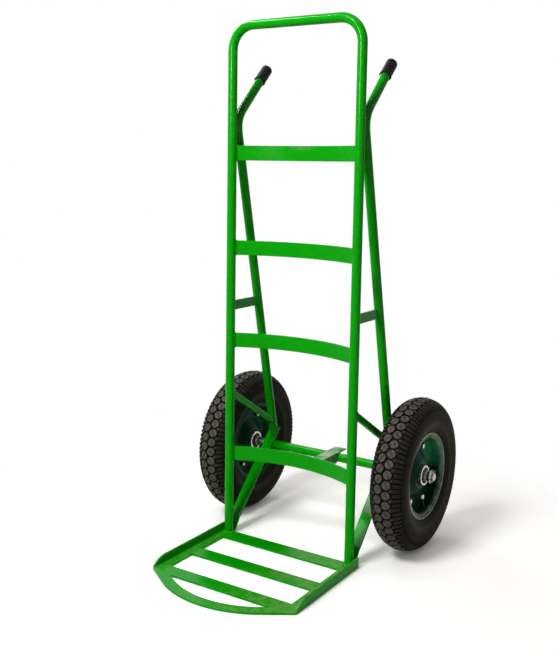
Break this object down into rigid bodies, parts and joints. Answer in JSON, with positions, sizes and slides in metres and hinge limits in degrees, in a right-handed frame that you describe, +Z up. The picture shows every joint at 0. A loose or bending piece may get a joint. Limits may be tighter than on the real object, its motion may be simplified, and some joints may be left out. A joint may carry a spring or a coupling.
{
  "type": "keg trolley",
  "caption": "Two-wheel hand truck for kegs: tall tube hoop with bowed flat crossbars, bent rear handles, slatted toe plate with a rounded nose, and pneumatic wheels.",
  "frame": {"origin": "on the floor, midway between the two uprights, on the underside of the rear toe slat", "axes": "+X to the right of someone facing the load side from in front, +Y back towards the wheels, +Z up"},
  "size_m": [0.64, 0.7781, 1.35],
  "materials": {
    "frame_paint": "gloss green",
    "rim_paint": "dark green",
    "tyre_rubber": "dusty black",
    "tube_rubber": "matt black",
    "valve_rubber": "matt black",
    "grip_rubber": "dark grey",
    "zinc_plate": "zinc plate",
    "axle_steel": "bright steel",
    "bearing_steel": "ground"
  },
  "bodies": {
    "frame": {"main_hoop": "frame_paint", "crossbar_top": "frame_paint", "crossbar_upper": "frame_paint", "crossbar_lower": "frame_paint", "crossbar_bottom": "frame_paint", "toe_slat_rear": "frame_paint", "toe_slat_middle": "frame_paint", "toe_slat_front": "frame_paint", "toe_nose_bar": "frame_paint", "axle_tube": "frame_paint", "axle_bracket": "frame_paint", "axle_shaft": "axle_steel", "inner_spacers": "axle_steel", "hub_spacers": "axle_steel", "outer_spacers": "axle_steel", "axle_washers": "zinc_plate", "split_pins": "zinc_plate", "bearing_inner_rings": "bearing_steel", "toe_rail_left": "frame_paint", "toe_rail_right": "frame_paint", "axle_strut_left": "frame_paint", "axle_strut_right": "frame_paint", "handle_leg_left": "frame_paint", "handle_leg_right": "frame_paint", "grip_left": "grip_rubber", "grip_right": "grip_rubber", "upper_stay_left": "frame_paint", "upper_stay_right": "frame_paint", "diagonal_brace_left": "frame_paint", "diagonal_brace_right": "frame_paint"},
    "wheel_left": {"tyre_left": "tyre_rubber", "inner_tube_left": "tube_rubber", "valve_stem_left": "valve_rubber", "rim_outer_left": "rim_paint", "rim_inner_left": "rim_paint", "rim_bolts_left": "zinc_plate", "rim_nuts_left": "zinc_plate", "hub_left": "zinc_plate", "bearing_outer_rings_left": "bearing_steel", "bearing_balls_left": "bearing_steel"},
    "wheel_right": {"tyre_right": "tyre_rubber", "inner_tube_right": "tube_rubber", "valve_stem_right": "valve_rubber", "rim_outer_right": "rim_paint", "rim_inner_right": "rim_paint", "rim_bolts_right": "zinc_plate", "rim_nuts_right": "zinc_plate", "hub_right": "zinc_plate", "bearing_outer_rings_right": "bearing_steel", "bearing_balls_right": "bearing_steel"}
  },
  "joints": [
    {"name": "wheel_left_spin", "type": "hinge", "parent": "frame", "child": "wheel_left", "pos_m": [-0.265, 0.204, 0.2], "axis": [1, 0, 0], "continuous": true},
    {"name": "wheel_right_spin", "type": "hinge", "parent": "frame", "child": "wheel_right", "pos_m": [0.265, 0.204, 0.2], "axis": [1, 0, 0], "continuous": true}
  ]
}
